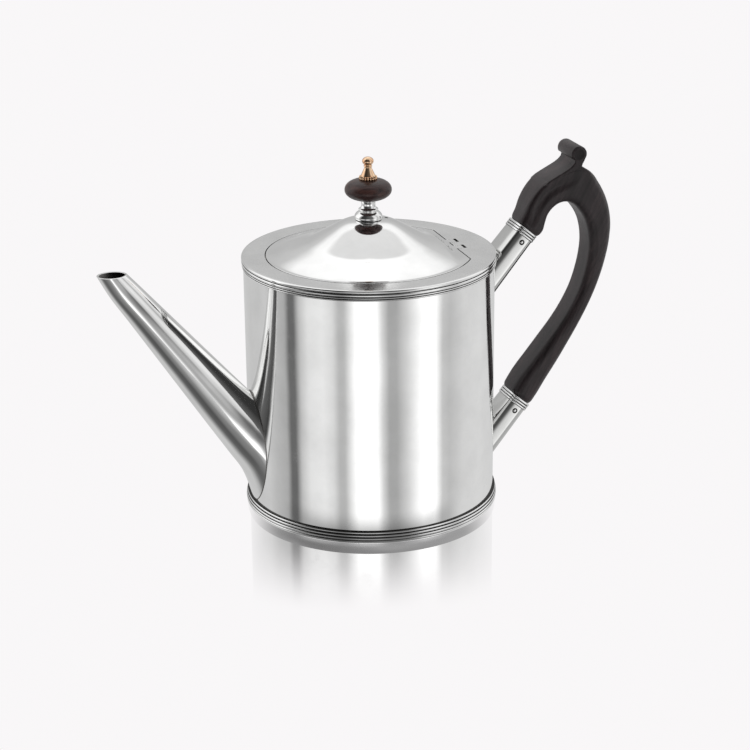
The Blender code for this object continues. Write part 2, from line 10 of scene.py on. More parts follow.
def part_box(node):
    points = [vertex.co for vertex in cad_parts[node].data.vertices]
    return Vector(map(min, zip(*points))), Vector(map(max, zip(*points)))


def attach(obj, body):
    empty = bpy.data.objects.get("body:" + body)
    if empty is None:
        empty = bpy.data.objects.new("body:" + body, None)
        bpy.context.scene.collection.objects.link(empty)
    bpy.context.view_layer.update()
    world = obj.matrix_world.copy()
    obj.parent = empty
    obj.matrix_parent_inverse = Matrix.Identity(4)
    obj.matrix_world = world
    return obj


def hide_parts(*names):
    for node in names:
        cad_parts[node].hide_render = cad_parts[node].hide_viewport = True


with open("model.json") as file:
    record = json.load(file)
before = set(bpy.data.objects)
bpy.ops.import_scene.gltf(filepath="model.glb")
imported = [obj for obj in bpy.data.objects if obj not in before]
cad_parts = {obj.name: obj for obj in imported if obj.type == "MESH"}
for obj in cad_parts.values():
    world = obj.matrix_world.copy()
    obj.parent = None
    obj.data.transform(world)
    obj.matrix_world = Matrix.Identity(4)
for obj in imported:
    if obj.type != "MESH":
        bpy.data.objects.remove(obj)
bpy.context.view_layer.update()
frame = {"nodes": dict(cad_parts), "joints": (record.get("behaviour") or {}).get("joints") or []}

MM = 0.001

# Sizes read from the frame, in millimetres
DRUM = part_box("body_wall")[1].x / MM
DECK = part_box("top_plate")[1].z / MM
RIM_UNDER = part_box("rim_moulding")[0].z / MM
FOOT_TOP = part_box("foot_moulding")[1].z / MM
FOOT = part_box("foot_moulding")[1].x / MM
LID = -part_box("lid")[0].x / MM
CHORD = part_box("lid")[1].x / MM
HINGE_X = frame["joints"][0]["pos_m"][0] / MM
HINGE_Z = frame["joints"][0]["pos_m"][2] / MM
HINGE_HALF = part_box("hinge_trough")[1].y / MM

SHEET = 1.0         # gauge of the silver sheet
SEAM = 0.4          # gap round the lid
STUD_BORE = 1.3     # hole for the finial's stud
SUNK = 0.3          # how far the spout and sockets start inside the drum's face


# ------------------------------------------------------------ mesh helpers

def add_object(name, data):
    item = bpy.data.objects.new(name, data)
    bpy.context.scene.collection.objects.link(item)
    return item


def evaluated_mesh(item):
    graph = bpy.context.evaluated_depsgraph_get()
    return bpy.data.meshes.new_from_object(item.evaluated_get(graph))


def finish_mesh(name, verts, faces, sharp=35.0):
    """A smooth-shaded object from points in millimetres, its faces turned outwards."""
    mesh = bpy.data.meshes.new(name)
    mesh.from_pydata([tuple(float(c) * MM for c in v) for v in verts], [], faces)
    work = bmesh.new()
    work.from_mesh(mesh)
    bmesh.ops.remove_doubles(work, verts=work.verts, dist=1e-7)
    bmesh.ops.recalc_face_normals(work, faces=work.faces)
    work.to_mesh(mesh)
    work.free()
    mesh.shade_smooth()
    mesh.set_sharp_from_angle(angle=math.radians(sharp))
    return add_object(name, mesh)


def shell(name, rings, loop=True, caps=False, sharp=35.0):
    """Rings of points joined one to the next. A loop joins the last ring to the first."""
    rings = np.asarray(rings, float)
    count, around = rings.shape[:2]
    faces = []
    for i in range(count if loop else count - 1):
        a = i * around
        b = ((i + 1) % count) * around
        for j in range(around):
            k = (j + 1) % around
            faces.append((a + j, a + k, b + k, b + j))
    if caps:
        faces.append(tuple(range(around)))
        faces.append(tuple(range((count - 1) * around, count * around)))
    return finish_mesh(name, rings.reshape(-1, 3), faces, sharp)


def lathe(name, profile, around=256, loop=True, ripple=None, sharp=35.0):
    """Turns (radius, height) points about Z. ripple(angle) scales the radius."""
    angles = np.arange(around) * math.tau / around
    swell = np.ones(around) if ripple is None else ripple(angles)
    rings = [np.stack([r * swell * np.cos(angles), r * swell * np.sin(angles),
                       np.full(around, z)], axis=1) for r, z in profile]
    return shell(name, rings, loop=loop, sharp=sharp)


def sector(name, profile, start, end, around=200):
    """Part of a turned ring between two angles, closed at its ends."""
    angles = np.linspace(start, end, around)
    rings = [[(r * math.cos(a), r * math.sin(a), z) for r, z in profile] for a in angles]
    return shell(name, rings, loop=False, caps=True)


def arc(centre, radii, start, end, steps):
    """Points on an ellipse's arc, angles in degrees."""
    turn = np.radians(np.linspace(start, end, steps + 1))
    return [(centre[0] + radii[0] * math.cos(t), centre[1] + radii[1] * math.sin(t))
            for t in turn]


def smooth_rows(rows, per_row):
    """Rows of numbers run through a smooth curve that passes through each of them."""
    rows = np.asarray(rows, float)
    gaps = np.linalg.norm(np.diff(rows[:, :2], axis=0), axis=1)
    at = np.r_[0.0, np.cumsum(gaps)]
    slope = np.gradient(rows, at, axis=0)
    out = []
    for i in range(len(rows) - 1):
        h = at[i + 1] - at[i]
        for t in np.arange(per_row) / per_row:
            out.append((2 * t ** 3 - 3 * t ** 2 + 1) * rows[i]
                       + (t ** 3 - 2 * t ** 2 + t) * h * slope[i]
                       + (3 * t ** 2 - 2 * t ** 3) * rows[i + 1]
                       + (t ** 3 - t ** 2) * h * slope[i + 1])
    out.append(rows[-1])
    return np.array(out)


def polygon_solid(name, outlines, low, high, rounding, sharp=15.0):
    """A plate between two heights from closed outlines: its edge, then its openings."""
    curve = bpy.data.curves.new(name, "CURVE")
    curve.dimensions = "2D"
    curve.fill_mode = "BOTH"
    curve.extrude = (high - low) / 2 * MM - rounding * MM
    curve.bevel_depth = rounding * MM
    curve.offset = -rounding * MM
    curve.bevel_resolution = 2
    for outline in outlines:
        line = curve.splines.new("POLY")
        line.use_cyclic_u = True
        line.points.add(len(outline) - 1)
        for point, (x, y) in zip(line.points, outline):
            point.co = (x * MM, y * MM, 0.0, 1.0)
    holder = add_object(name, curve)
    mesh = evaluated_mesh(holder)
    bpy.data.objects.remove(holder, do_unlink=True)
    work = bmesh.new()
    work.from_mesh(mesh)
    bmesh.ops.remove_doubles(work, verts=work.verts, dist=1e-7)
    bmesh.ops.recalc_face_normals(work, faces=work.faces)
    bmesh.ops.translate(work, verts=work.verts, vec=(0, 0, (low + high) / 2 * MM))
    work.to_mesh(mesh)
    work.free()
    mesh.materials.clear()
    mesh.update()
    mesh.shade_smooth()
    mesh.set_sharp_from_angle(angle=math.radians(sharp))
    for face in mesh.polygons:
        face.use_smooth = abs(face.normal.z) < 0.999
    return add_object(name, mesh)


def drill(piece, radius, segments, places):
    """Cuts a short round hole along Z of each of the places, which are matrices."""
    work = bmesh.new()
    for place in places:
        bmesh.ops.create_cone(work, cap_ends=True, segments=segments, radius1=radius * MM,
                              radius2=radius * MM, depth=9 * MM, matrix=place)
    holes = bpy.data.meshes.new("holes")
    work.to_mesh(holes)
    work.free()
    cutter = add_object("holes", holes)
    cut = piece.modifiers.new("holes", "BOOLEAN")
    cut.object = cutter
    cut.solver = "EXACT"
    mesh = evaluated_mesh(piece)
    piece.modifiers.clear()
    piece.data = mesh
    bpy.data.objects.remove(cutter, do_unlink=True)


def lay_along_y(piece, x, z):
    """Turns a lathed piece to lie along Y, through a point of the XZ plane."""
    piece.data.transform(Matrix.Translation((x * MM, 0, z * MM))
                         @ Matrix.Rotation(math.radians(-90.0), 4, "X"))


def dress(piece, body, look, slot, *nodes):
    """Gives a piece its material and body, and hides the CAD nodes it stands for."""
    piece.data.materials.clear()
    piece.data.materials.append(look)
    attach(piece, body)
    if nodes:
        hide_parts(*nodes)


def darken(piece, look, test):
    """Gives a second look to the faces whose centre, in millimetres, and normal pass."""
    piece.data.materials.append(look)
    for face in piece.data.polygons:
        if test(face.center / MM, face.normal):
            face.material_index = 1


# -------------------------------------------------------------- materials

class Nodes:
    """Short names for building a node tree."""

    def __init__(self, tree):
        self.tree = tree

    def add(self, kind, **values):
        node = self.tree.nodes.new(kind)
        for key, value in values.items():
            setattr(node, key, value)
        return node

    def link(self, output, target):
        self.tree.links.new(output, target)

    def feed(self, value, target):
        """Links an output to an input, or sets a plain value on it."""
        if hasattr(value, "links"):
            self.link(value, target)
        else:
            target.default_value = value

    def coordinates(self, kind):
        return self.add("ShaderNodeTexCoord").outputs[kind]

    def place(self, scale=(1.0, 1.0, 1.0), turn=(0.0, 0.0, 0.0)):
        """Object coordinates in metres, turned and then scaled."""
        rotate = self.add("ShaderNodeMapping", vector_type="POINT")
        rotate.inputs["Rotation"].default_value = turn
        stretch = self.add("ShaderNodeMapping", vector_type="POINT")
        stretch.inputs["Scale"].default_value = scale
        self.link(self.coordinates("Object"), rotate.inputs["Vector"])
        self.link(rotate.outputs["Vector"], stretch.inputs["Vector"])
        return stretch.outputs["Vector"]

    def noise(self, vector, scale, detail=4.0, rough=0.55):
        node = self.add("ShaderNodeTexNoise")
        node.inputs["Scale"].default_value = scale
        node.inputs["Detail"].default_value = detail
        node.inputs["Roughness"].default_value = rough
        self.link(vector, node.inputs["Vector"])
        return node.outputs["Fac"]

    def ramp(self, factor, stops):
        """A colour ramp. A stop is a place from 0 to 1 with a grey or a colour."""
        node = self.add("ShaderNodeValToRGB")
        marks = node.color_ramp.elements
        while len(marks) < len(stops):
            marks.new(0.5)
        for mark, (place, colour) in zip(marks, stops):
            mark.position = place
            mark.color = (*colour, 1.0) if hasattr(colour, "__len__") else (colour,) * 3 + (1.0,)
        self.link(factor, node.inputs["Fac"])
        return node.outputs["Color"]

    def math(self, operation, *values):
        node = self.add("ShaderNodeMath", operation=operation)
        for value, target in zip(values, node.inputs):
            self.feed(value, target)
        return node.outputs[0]

    def dot(self, vector, direction):
        node = self.add("ShaderNodeVectorMath", operation="DOT_PRODUCT")
        self.link(vector, node.inputs[0])
        node.inputs[1].default_value = direction
        return node.outputs["Value"]

    def between(self, value, low, high, first=0.0, last=1.0):
        """Runs smoothly from first at low to last at high."""
        node = self.add("ShaderNodeMapRange", interpolation_type="SMOOTHSTEP")
        self.link(value, node.inputs["Value"])
        for name, number in (("From Min", low), ("From Max", high), ("To Min", first),
                             ("To Max", last)):
            node.inputs[name].default_value = number
        return node.outputs["Result"]

    def blend(self, factor, first, second):
        node = self.add("ShaderNodeMix", data_type="RGBA")
        self.link(factor, node.inputs["Factor"])
        self.feed(first, node.inputs["A"])
        self.feed(second, node.inputs["B"])
        return node.outputs["Result"]

    def bump(self, height, strength, distance, before=None):
        node = self.add("ShaderNodeBump")
        node.inputs["Strength"].default_value = strength
        node.inputs["Distance"].default_value = distance
        self.link(height, node.inputs["Height"])
        if before is not None:
            self.link(before, node.inputs["Normal"])
        return node.outputs["Normal"]


class Look(Nodes):
    """A new material's node tree."""

    def __init__(self, name):
        self.material = bpy.data.materials.new(name)
        self.material.use_nodes = True
        super().__init__(self.material.node_tree)
        self.shader = self.tree.nodes["Principled BSDF"]


def scratches(nodes, turn, scale, thin):
    """Fine straight hairlines in one direction, as a mask."""
    vector = nodes.place((scale * 0.02, scale, scale), turn)
    field = nodes.noise(vector, 1.0, 2.0, 0.4)
    return nodes.ramp(field, ((0.5 - thin, 0.0), (0.5, 1.0), (0.5 + thin, 0.0)))


def silver(name, tint, low, high, wobble, tarnish=0.0):
    """Polished sterling: hairlines, a soft hand-worked waviness and a little tarnish."""
    nodes = Look(name)
    shader = nodes.shader
    shader.inputs["Metallic"].default_value = 1.0
    plain = nodes.place()
    cloud = nodes.noise(plain, 55.0, 5.0)
    dark = tuple(c * (1.0 - 0.10 - tarnish) for c in tint)
    colour = nodes.ramp(cloud, ((0.30, dark), (0.62, tint)))
    nodes.link(colour, shader.inputs["Base Color"])

    first = scratches(nodes, (0.4, 0.9, 0.2), 2600.0, 0.012)
    second = scratches(nodes, (1.3, -0.5, 1.1), 2100.0, 0.010)
    third = scratches(nodes, (0.2, 0.3, -1.2), 3000.0, 0.010)
    lines = nodes.math("MAXIMUM", nodes.math("MAXIMUM", first, second), third)
    patch = nodes.noise(plain, 160.0, 3.0)
    shown = nodes.math("MULTIPLY", lines, nodes.ramp(patch, ((0.45, 0.0), (0.7, 1.0))))
    smear = nodes.noise(nodes.place((1.0, 1.0, 0.35)), 90.0, 4.0)
    base = nodes.ramp(smear, ((0.3, low), (0.75, high)))
    rough = nodes.math("ADD", base, nodes.math("MULTIPLY", shown, 0.12))
    nodes.link(rough, shader.inputs["Roughness"])

    wave = nodes.noise(nodes.place((1.0, 1.0, 0.7)), 38.0, 1.0)
    normal = nodes.bump(wave, 1.0, wobble)
    normal = nodes.bump(shown, 0.08, 0.00002, normal)
    nodes.link(normal, shader.inputs["Normal"])
    return nodes.material


def wood(name, deep, light, streak, turn, rough=(0.30, 0.46)):
    """Dark close-grained hardwood: long fibres and short pores."""
    nodes = Look(name)
    shader = nodes.shader
    fibre = nodes.noise(nodes.place((70.0, 900.0, 900.0), turn), 1.0, 6.0, 0.6)
    band = nodes.noise(nodes.place((22.0, 160.0, 160.0), turn), 1.0, 3.0, 0.5)
    grain = nodes.math("ADD", nodes.math("MULTIPLY", fibre, 0.55),
                       nodes.math("MULTIPLY", band, 0.45))
    colour = nodes.ramp(grain, ((0.36, deep), (0.52, light), (0.66, streak)))
    nodes.link(colour, shader.inputs["Base Color"])
    nodes.link(nodes.ramp(fibre, ((0.3, rough[0]), (0.7, rough[1]))),
               shader.inputs["Roughness"])
    pores = nodes.noise(nodes.place((350.0, 3600.0, 3600.0), turn), 1.0, 2.0, 0.5)
    pits = nodes.ramp(pores, ((0.30, 0.0), (0.42, 1.0)))
    normal = nodes.bump(fibre, 0.25, 0.00012)
    normal = nodes.bump(pits, 0.35, 0.00006, normal)
    nodes.link(normal, shader.inputs["Normal"])
    shader.inputs["Specular IOR Level"].default_value = 0.34
    shader.inputs["Coat Weight"].default_value = 0.08
    shader.inputs["Coat Roughness"].default_value = 0.30
    return nodes.material


def gilding(name, thin, full):
    """Worn gilding, redder where it is thin."""
    nodes = Look(name)
    shader = nodes.shader
    shader.inputs["Metallic"].default_value = 1.0
    plain = nodes.place()
    wear = nodes.noise(plain, 420.0, 4.0)
    colour = nodes.ramp(wear, ((0.32, thin), (0.6, full)))
    nodes.link(colour, shader.inputs["Base Color"])
    nodes.link(nodes.ramp(wear, ((0.3, 0.18), (0.7, 0.09))), shader.inputs["Roughness"])
    nodes.link(nodes.bump(nodes.noise(plain, 2200.0, 2.0), 0.06, 0.00003),
               shader.inputs["Normal"])
    return nodes.material


SILVER = silver("polished_silver", (0.95, 0.95, 0.945), 0.035, 0.075, 0.00016)
DECK_SILVER = silver("deck_silver", (0.93, 0.93, 0.925), 0.13, 0.19, 0.00008)
INNER_SILVER = silver("inner_silver", (0.72, 0.70, 0.66), 0.20, 0.34, 0.0003, 0.22)
DARK_SILVER = silver("spout_throat", (0.30, 0.29, 0.28), 0.30, 0.42, 0.0003, 0.3)
HANDLE_TURN = (0.0, math.radians(62.0), 0.0)
HANDLE_WOOD = wood("ebonised_wood", (0.008, 0.0055, 0.006), (0.024, 0.017, 0.0185),
                   (0.050, 0.035, 0.036), HANDLE_TURN)
EYE_WOOD = wood("scroll_eye_wood", (0.004, 0.003, 0.003), (0.011, 0.008, 0.0085),
                (0.020, 0.015, 0.015), HANDLE_TURN, (0.55, 0.65))
BUTTON_WOOD = wood("button_wood", (0.012, 0.006, 0.006), (0.034, 0.016, 0.015),
                   (0.078, 0.036, 0.030), (0.0, 0.0, 0.3), (0.24, 0.38))
GILT = gilding("worn_gilding", (0.78, 0.42, 0.24), (0.97, 0.70, 0.47))
# Painted shade: a dark brown gilding painted into the hollows between the finial collar's lobes.
PAINTED_SHADE_GILT = gilding("gilding_with_painted_shade", (0.10, 0.05, 0.03), (0.22, 0.12, 0.06))
# Painted shade: a greyer copy of the polished silver, which makes the sockets darker than the
# drum.
SHADED_SOCKET_SILVER = silver("socket_silver", (0.76, 0.76, 0.75), 0.06, 0.11, 0.00014)
# Painted reflection: a dim grey silver for the foot mirrored under the floor, so that its
# reflection shows darker.
DIMMED_REFLECTION_SILVER = silver("dimmed_reflection_silver", (0.42, 0.42, 0.42), 0.22, 0.30, 0.0001)
# Painted shade: a dull near-black silver painted into the grooves between reeds, the seam round
# the lid, the rings round the pins and the upper socket's lower corners.
PAINTED_SHADE = silver("painted_shade_silver", (0.040, 0.038, 0.036), 0.40, 0.55, 0.0001, 0.2)
STEEL = silver("turned_steel", (0.60, 0.59, 0.58), 0.25, 0.38, 0.0001, 0.1)


# ------------------------------------------------------------------- drum

def reeds(tops, sides, bulge):
    """Half-round reeds one below the next. tops are the heights between them."""
    points = []
    for i in range(len(tops) - 1):
        middle = (tops[i] + tops[i + 1]) / 2
        half = (tops[i] - tops[i + 1]) / 2
        points += arc((sides[i], middle), (bulge, half), 78, -78, 10)
        if i < len(tops) - 2:
            points.append((min(sides[i], sides[i + 1]) - 0.12, tops[i + 1]))
    return points


def near_any(place, grooves):
    """Whether a place lies in one of the grooves between reeds, which are painted near-black as
    shade.
    """
    return min(abs(place - groove) for groove in grooves) < 0.17


def make_wall():
    top = RIM_UNDER + 0.6
    outside = [(DRUM, z) for z in np.linspace(top, 0.0, 12)]
    inside = [(DRUM - SHEET, z) for z in np.linspace(0.0, top, 12)]
    wall = lathe("body_wall_silver", outside + inside)
    # Strainer holes behind the spout, in a hexagon with five in its middle row
    pitch = 5.2
    places = []
    for row in range(-2, 3):
        in_row = 5 - abs(row)
        for place in range(in_row):
            side = (place - (in_row - 1) / 2) * pitch
            height = 30.0 + row * pitch * math.sin(math.radians(60.0))
            places.append(Matrix.Translation(((SHEET - DRUM) * MM, side * MM, height * MM))
                          @ Matrix.Rotation(math.radians(90.0), 4, "Y"))
    drill(wall, 1.4, 20, places)
    dress(wall, "pot", SILVER, "silver", "body_wall")
    darken(wall, INNER_SILVER, lambda p, n: p.xy.length < DRUM - SHEET / 2)


def make_base():
    inner = DRUM - SHEET
    plate = lathe("base_plate_silver", ((0.0, SHEET), (inner, SHEET), (inner, 0.0), (0.0, 0.0)),
                  loop=False)
    dress(plate, "pot", INNER_SILVER, "silver", "base_plate")


def make_foot():
    heights = [FOOT_TOP * (4 - i) / 4 for i in range(5)]
    profile = reeds(heights, (FOOT - 0.95, FOOT - 0.65, FOOT - 0.5, FOOT - 0.62), 0.5)
    profile += [(FOOT - 0.9, 0.0), (DRUM - 0.05, 0.0), (DRUM - 0.05, FOOT_TOP)]
    foot = lathe("foot_moulding_silver", profile, sharp=50.0)
    dress(foot, "pot", SILVER, "silver", "foot_moulding")
    # Painted shade: the grooves between the reeds are near-black.
    darken(foot, PAINTED_SHADE, lambda p, n: near_any(p.z, heights[:-1]))


def make_rim():
    heights = [DECK - drop for drop in (0.0, 1.4, 2.8, 3.65, 4.5)]
    profile = [(DRUM - 0.4, DECK)]
    profile += reeds(heights, (DRUM + 0.25, DRUM + 0.25, DRUM + 0.1, DRUM - 0.02), 0.52)
    profile += [(DRUM - 0.05, RIM_UNDER), (DRUM - 1.6, RIM_UNDER), (DRUM - 1.6, DECK - 1.3),
                (DRUM - 0.4, DECK - 1.3)]
    rim = lathe("rim_moulding_silver", profile, sharp=50.0)
    dress(rim, "pot", SILVER, "silver", "rim_moulding")
    # Painted shade: the grooves between the reeds are near-black.
    darken(rim, PAINTED_SHADE,
           lambda p, n: near_any(p.z, heights[1:]) and p.xy.length > DRUM - 0.6)


def knuckle_edges():
    """Where the five knuckles start and end along Y."""
    return np.linspace(-HINGE_HALF, HINGE_HALF, 6)


def make_deck():
    around = np.radians(np.arange(0, 360, 1.5))
    edge = [((DRUM - 0.35) * math.cos(a), (DRUM - 0.35) * math.sin(a)) for a in around]
    radius = LID + SEAM
    back = CHORD + SEAM
    corner = math.acos(back / radius)
    opening = [(radius * math.cos(a), radius * math.sin(a))
               for a in np.linspace(corner, math.tau - corner, 220)]
    # Notches that the lid's two knuckles turn in
    ends = knuckle_edges()
    notch = HINGE_X + KNUCKLE + 0.05
    for low, high in ((ends[1] - 0.1, ends[2] + 0.1), (ends[3] - 0.1, ends[4] + 0.1)):
        opening += [(back, low), (notch, low), (notch, high), (back, high)]
    plate = polygon_solid("top_plate_silver", (edge, opening), DECK - 1.0, DECK, 0.10)
    dress(plate, "pot", DECK_SILVER, "silver", "top_plate")
    # Painted shade: the upright sides of the opening and its notches are near-black, as shade in
    # the seam round the lid.
    darken(plate, PAINTED_SHADE, lambda p, n: abs(n.z) < 0.3 and p.xy.length < DRUM - 2)


def make_ledge(node, body, outer, inner, gap):
    """An inner ring of the lid or its opening, open by gap degrees each side of the hinge."""
    low, high = (corner.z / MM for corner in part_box(node))
    start = math.radians(gap)
    ledge = sector(node + "_silver", ((outer, high), (outer, low), (inner, low), (inner, high)),
                   start, math.tau - start)
    dress(ledge, body, INNER_SILVER, "silver", node)


# ------------------------------------------------------------------ hinge

KNUCKLE = 2.1
TROUGH = (2.5, 3.2)     # inner and outer radius


def extruded(name, outline, low, high):
    """An XZ outline about the hinge's axis, run along Y from low to high."""
    rings = [[(HINGE_X + x, y, HINGE_Z + z) for x, z in outline] for y in (low, high)]
    return shell(name, rings, loop=False, caps=True, sharp=30.0)


def knuckle(name, low, high, side, reach):
    """A barrel whose top is filed level with the deck, on its own side of the seam."""
    top = DECK - HINGE_Z - 0.02
    filed = 0.9
    start = math.degrees(math.acos(-side * filed / KNUCKLE))
    outline = [(side * reach, top), (-side * filed, top)]
    outline += arc((0.0, 0.0), (KNUCKLE, KNUCKLE), start, 270 if side > 0 else -90, 24)
    outline += [(side * KNUCKLE, -0.4), (side * reach, 0.9)]
    return extruded(name, outline, low, high)


def make_hinge():
    ends = knuckle_edges()
    names = ("deck_knuckle_near", "lid_knuckle_near", "deck_knuckle_middle",
             "lid_knuckle_far", "deck_knuckle_far")
    for name, start, end in zip(names, ends[:-1] + 0.06, ends[1:] - 0.06):
        if name.startswith("lid"):
            piece = knuckle(name + "_silver", start, end, -1, 2.6)
            dress(piece, "lid", DECK_SILVER, "silver", name)
        else:
            piece = knuckle(name + "_silver", start, end, 1, 2.5)
            dress(piece, "pot", DECK_SILVER, "silver", name)
    inner, outer = TROUGH
    lip = 0.8
    outline = [(outer, lip)] + arc((0.0, 0.0), (outer, outer), 0, -180, 24)
    outline += [(-outer, lip), (-inner, lip)]
    outline += arc((0.0, 0.0), (inner, inner), -180, 0, 24) + [(inner, lip)]
    trough = extruded("hinge_trough_silver", outline, -HINGE_HALF, HINGE_HALF)
    dress(trough, "pot", INNER_SILVER, "silver", "hinge_trough")


# -------------------------------------------------------------------- lid

# Slope of the lid, in degrees, at each radius: a flat crown under the finial, a steep
# dome, a gentler brim, and a narrow flat margin at the seam
LID_SLOPE = ((0, 0), (4, 2), (6.5, 6), (8.5, 13), (10.5, 21), (12.5, 26), (15, 29.5),
             (18, 30), (21, 29), (24, 28.5), (25.5, 26), (27, 21), (28.5, 18.5), (31, 18.2),
             (33.5, 18.4), (36, 19), (38.5, 18.5), (40, 16.5), (41.4, 14), (41.8, 4), (43, 1))
VENT = (7.8, 0.0)
# The slope is softened over a few steps, then added up from the edge inwards
LID_AT, LID_STEP = np.linspace(0.0, LID, 861, retstep=True)
SOFTEN = 6
LID_FALL = np.tan(np.radians(np.interp(LID_AT, *zip(*LID_SLOPE))))
LID_FALL = np.convolve(np.pad(LID_FALL, SOFTEN, "edge"),
                       np.ones(2 * SOFTEN + 1) / (2 * SOFTEN + 1), "valid")
LID_RISE = np.cumsum((LID_FALL * LID_STEP)[::-1])[::-1] + 0.05


def lid_rise(radius, x):
    """Height above the deck, eased down to the deck's level at the straight edge."""
    near = np.clip((CHORD - x) / 8.0, 0.0, 1.0)
    return np.interp(radius, LID_AT, LID_RISE) * near * near * (3.0 - 2.0 * near)


def make_lid():
    corner = math.acos(CHORD / LID)
    straight = np.linspace(-corner, corner, 41)[:-1]
    angles = np.r_[straight, np.linspace(corner, math.tau - corner, 216)[:-1]]
    on_chord = np.arange(len(angles)) <= len(straight)
    reach = np.where(on_chord, CHORD / np.cos(angles), LID)
    edge = 0.14
    gauge = 1.1

    def ring(radius, drop):
        x = radius * np.cos(angles)
        y = radius * np.sin(angles)
        return np.stack([x, y, DECK + lid_rise(radius, x) - drop], axis=1)

    rings = [ring(STUD_BORE + (reach - edge - STUD_BORE) * u, 0.0)
             for u in np.linspace(0, 1, 90)]
    for t in np.radians((30, 60, 90)):
        rings.append(ring(reach - edge + edge * math.sin(t), edge - edge * math.cos(t)))
    # The straight edge leans inwards below, so that it clears the deck as the lid turns.
    under = reach - np.where(on_chord, 0.42, 0.0)
    rings.append(ring(under, gauge - 0.05))
    rings += [ring(STUD_BORE + (under - 0.3 - STUD_BORE) * u, gauge)
              for u in np.linspace(1, 0, 60)]
    lid = shell("lid_silver", rings, sharp=40.0)
    drill(lid, 0.8, 24, [Matrix.Translation((VENT[0] * MM, VENT[1] * MM, (DECK + 13.5) * MM))])
    dress(lid, "lid", SILVER, "silver", "lid")
    darken(lid, INNER_SILVER, lambda p, n: n.z < -0.2)


# ----------------------------------------------------------------- finial

def above(points):
    """Profile points with their heights measured from the deck."""
    return [(r, DECK + z) for r, z in points]


def make_stem():
    crown = LID_RISE[0]
    profile = [(STUD_BORE, 22.5), (3.15, 22.5), (3.0, 21.6), (2.95, 20.8), (3.05, 20.1),
               (3.3, 19.6), (3.55, 19.35)]
    profile += arc((3.7, 18.88), (0.42, 0.38), 80, -80, 8)
    profile.append((3.62, 18.4))
    profile += [point for point in arc((1.9, 15.6), (3.95, 2.9), 64, -62, 40) if point[1] > crown]
    profile += [(5.2, crown), (STUD_BORE, crown)]
    stem = lathe("finial_pedestal_silver", above(profile), 96, sharp=45.0)
    dress(stem, "lid", SILVER, "silver", "finial_pedestal")


def make_button():
    """A flattened ball, fuller above its widest line than below it."""
    profile = []
    for t in np.radians(np.linspace(78, -74, 60)):
        power = 0.70 if t > 0 else 0.90
        profile.append((9.8 * abs(math.cos(t)) ** power,
                        27.1 + 4.5 * math.copysign(abs(math.sin(t)) ** 0.95, t)))
    profile = [(STUD_BORE, profile[0][1])] + profile + [(STUD_BORE, profile[-1][1])]
    button = lathe("finial_button_wood", above(profile), 128)
    dress(button, "lid", BUTTON_WOOD, "finial_wood", "finial_button")


def make_cap():
    """A bell with a ring and a ball on top, standing on a fluted collar."""
    profile = arc((0.0, 39.15), (2.4, 1.85), 90, -50, 24)
    profile.append((1.5, 37.45))
    profile += arc((1.5, 37.1), (0.32, 0.25), 80, -80, 6)
    profile += [(1.5, 36.75), (1.56, 36.4), (1.75, 35.9), (2.0, 35.35), (2.25, 34.8), (2.5, 34.3),
                (2.75, 33.75), (2.95, 33.3), (3.0, 33.0)]
    profile += [(STUD_BORE, 32.9), (STUD_BORE, 35.2), (0.0, 35.2)]
    bell = lathe("finial_cap_gilt", above(profile), 96, loop=False, sharp=50.0)
    dress(bell, "lid", GILT, "gilt", "finial_cap")

    lobes = 20
    profile = [(STUD_BORE, 33.1), (3.2, 33.1), (3.5, 33.0), (3.75, 32.75), (3.83, 32.4),
               (3.83, 31.7), (3.7, 31.4), (3.3, 31.2), (STUD_BORE, 31.2)]
    collar = lathe("finial_cap_gadroons", above(profile), 320,
                   ripple=lambda a: 0.80 + 0.20 * np.abs(np.cos(a * lobes / 2)) ** 0.8)
    dress(collar, "lid", GILT, "gilt")
    # Painted shade: the hollows between the lobes get the dark brown gilding.
    darken(collar, PAINTED_SHADE_GILT, lambda p, n: p.z > DECK + 31.2 and p.xy.length > 2.6
           and abs(math.cos(math.atan2(p.y, p.x) * lobes / 2)) < 0.48)


def dress_fixings():
    """Better looks for the CAD pieces that are shown as they are."""
    for name, look in (("finial_stud", STEEL), ("finial_nut", STEEL), ("hinge_pin", STEEL),
                       ("finial_washer", INNER_SILVER)):
        node = frame["nodes"][name]
        node.data.materials.clear()
        node.data.materials.append(look)


# ------------------------------------------------------------------ spout

# Lower and upper edges in the XZ plane, and the half width, from root to tip
SPOUT_SECTIONS = (
    (-50.5, -2.0, -32.0, 29.6, 15.3),
    (-52.7, 5.0, -36.0, 34.2, 15.3),
    (-54.6, 11.8, -40.0, 38.8, 15.1),
    (-57.2, 18.5, -44.0, 43.3, 14.5),
    (-63.0, 27.7, -48.5, 48.5, 13.0),
    (-71.2, 40.4, -52.9, 53.5, 11.4),
    (-87.0, 65.1, -70.6, 73.7, 9.3),
    (-103.0, 90.1, -90.0, 95.9, 7.0),
    (-110.2, 101.3, -98.3, 105.4, 5.7),
    (-114.8, 110.0, -102.4, 110.0, 5.2),
)


def start_on_drum(line, radius):
    """Where a line of points that begins inside the drum comes out of it."""
    out = np.hypot(line[:, 0], line[:, 1]) - radius
    last = np.nonzero(out < 0)[0].max()
    share = out[last] / (out[last] - out[last + 1])
    return last + share


def trimmed(lines, count):
    """Cuts each line just inside the drum's face and spreads count points over the rest."""
    result = []
    for line in lines:
        index = np.arange(len(line))
        at = np.linspace(start_on_drum(line, DRUM - SUNK), index[-1], count)
        result.append(np.stack([np.interp(at, index, line[:, k]) for k in range(3)], axis=1))
    return np.array(result).transpose(1, 0, 2)


